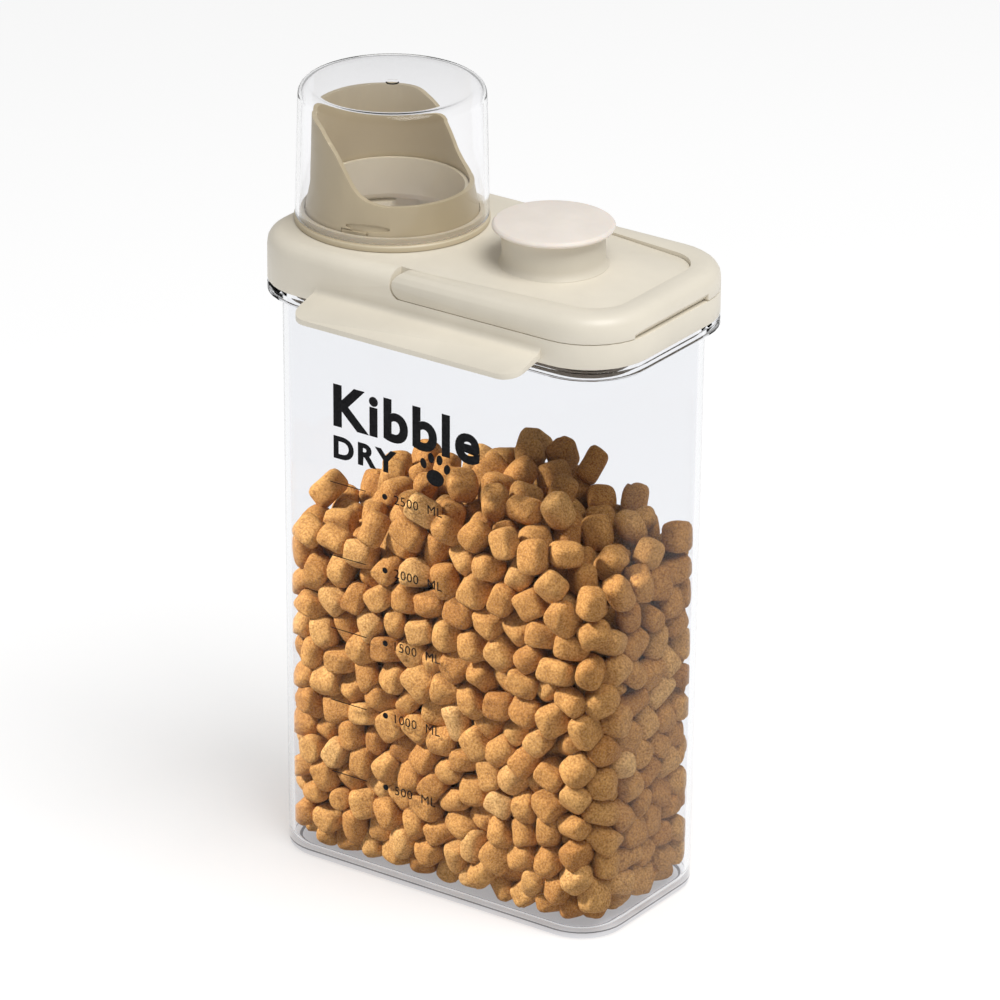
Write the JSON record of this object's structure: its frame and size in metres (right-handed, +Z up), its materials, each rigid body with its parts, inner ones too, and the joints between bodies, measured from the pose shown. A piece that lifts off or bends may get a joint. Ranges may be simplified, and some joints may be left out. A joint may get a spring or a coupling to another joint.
{
  "type": "pet food bin",
  "caption": "Clear upright dry food bin with a press-on lid, pouring spout under an inverted measuring cup, folding carry handle and stoppered port.",
  "frame": {"origin": "centre of the bin's flat underside", "axes": "+Z up through the bin, +X along its long side from the spout to the carry handle's grip, -Y out of the printed front with the lid's lift tab"},
  "size_m": [0.1844, 0.1219, 0.3435],
  "materials": {
    "clear_plastic": "clear, polished",
    "lid_plastic": "satin moulded, warm cream",
    "seal_silicone": "translucent white, soft",
    "stopper_silicone": "matte, soft, pinkish cream",
    "sachet_paper": "non-woven paper, matte",
    "print_ink": "screen printed black ink",
    "dry_food": "dry, grainy, golden brown"
  },
  "bodies": {
    "bin": {"container_body": "clear_plastic"},
    "lid": {"lid_shell": "lid_plastic", "lid_inner_frame": "lid_plastic", "lid_gasket": "seal_silicone", "spout": "lid_plastic", "spout_seal": "seal_silicone", "cup_seal": "seal_silicone", "absorber_basket": "lid_plastic", "absorber_sachet": "sachet_paper"},
    "bail": {"handle": "lid_plastic"},
    "cup": {"measuring_cup": "clear_plastic"},
    "stopper": {"port_stopper": "stopper_silicone"}
  },
  "joints": [
    {"name": "lid_lift", "type": "slide", "parent": "bin", "child": "lid", "axis": [0, 0, 1], "range_m": [0, 0.06]},
    {"name": "cup_lift", "type": "slide", "parent": "lid", "child": "cup", "axis": [0, 0, 1], "range_m": [0, 0.06]},
    {"name": "handle_turn", "type": "hinge", "parent": "lid", "child": "bail", "pos_m": [-0.0095, 0, 0.278], "axis": [0, -1, 0], "range_deg": [0, 85]},
    {"name": "stopper_lift", "type": "slide", "parent": "lid", "child": "stopper", "axis": [0, 0, 1], "range_m": [0, 0.03]}
  ]
}
